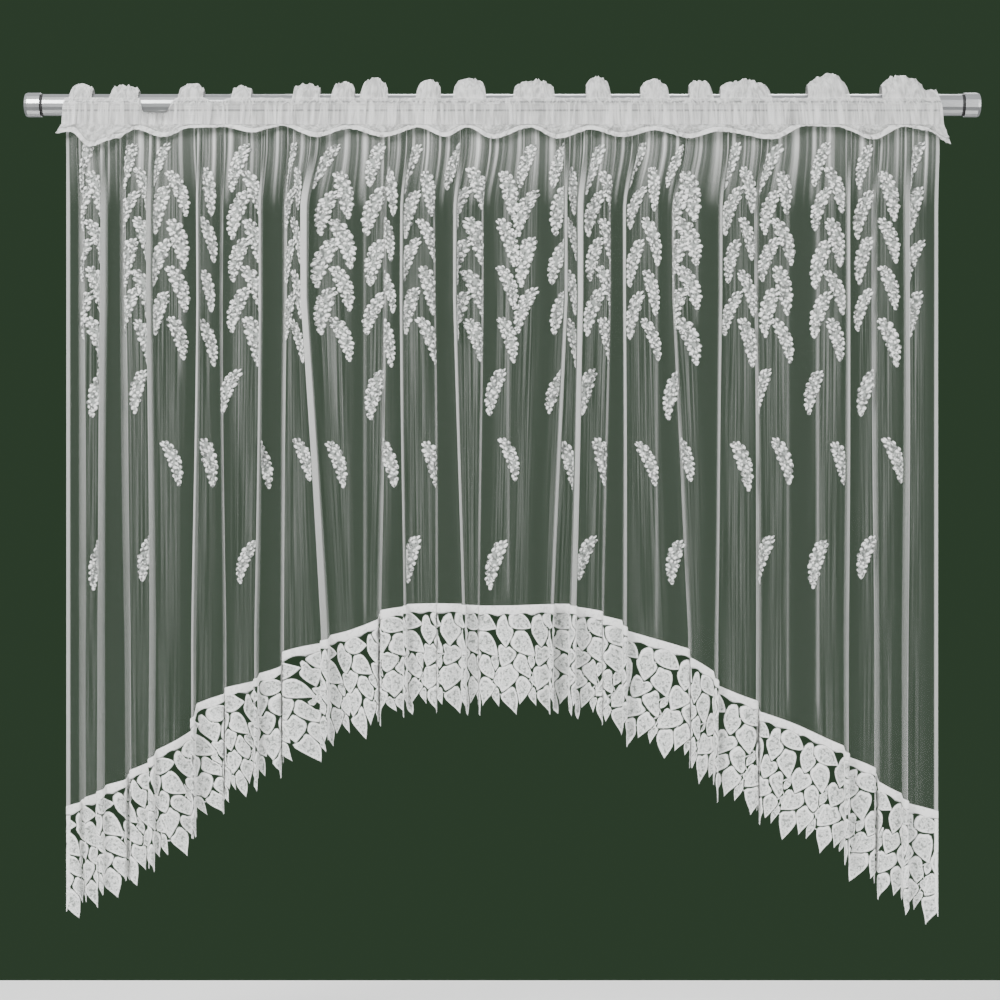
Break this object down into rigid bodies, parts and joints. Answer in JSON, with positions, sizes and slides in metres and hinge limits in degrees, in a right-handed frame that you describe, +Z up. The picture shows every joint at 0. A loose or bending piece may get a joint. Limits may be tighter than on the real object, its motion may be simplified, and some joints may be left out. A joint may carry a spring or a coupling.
{
  "type": "arched sheer curtain with rod",
  "caption": "Sheer net curtain with an arched leaf-lace lower border and woven leaf spikes, gathered on a slotted heading over a straight steel rod with end caps.",
  "frame": {"origin": "on the rod's axis, at the middle of its length", "axes": "+X along the rod to the viewer's right, +Z up, the front faces -Y"},
  "size_m": [1.7182, 0.0652, 1.5195],
  "materials": {
    "chrome": "polished, slightly soft",
    "ring_rubber": "matt black",
    "heading_voile": "off-white voile, gathered",
    "sheer_net": "very transparent net with opaque woven spikes",
    "leaf_lace": "opaque off-white leaf lace"
  },
  "bodies": {
    "root": {"rod": "chrome", "ring_left": "ring_rubber", "ring_right": "ring_rubber", "cap_left": "chrome", "cap_right": "chrome", "heading": "heading_voile", "net_panel": "sheer_net", "lace_border": "leaf_lace"}
  },
  "joints": []
}
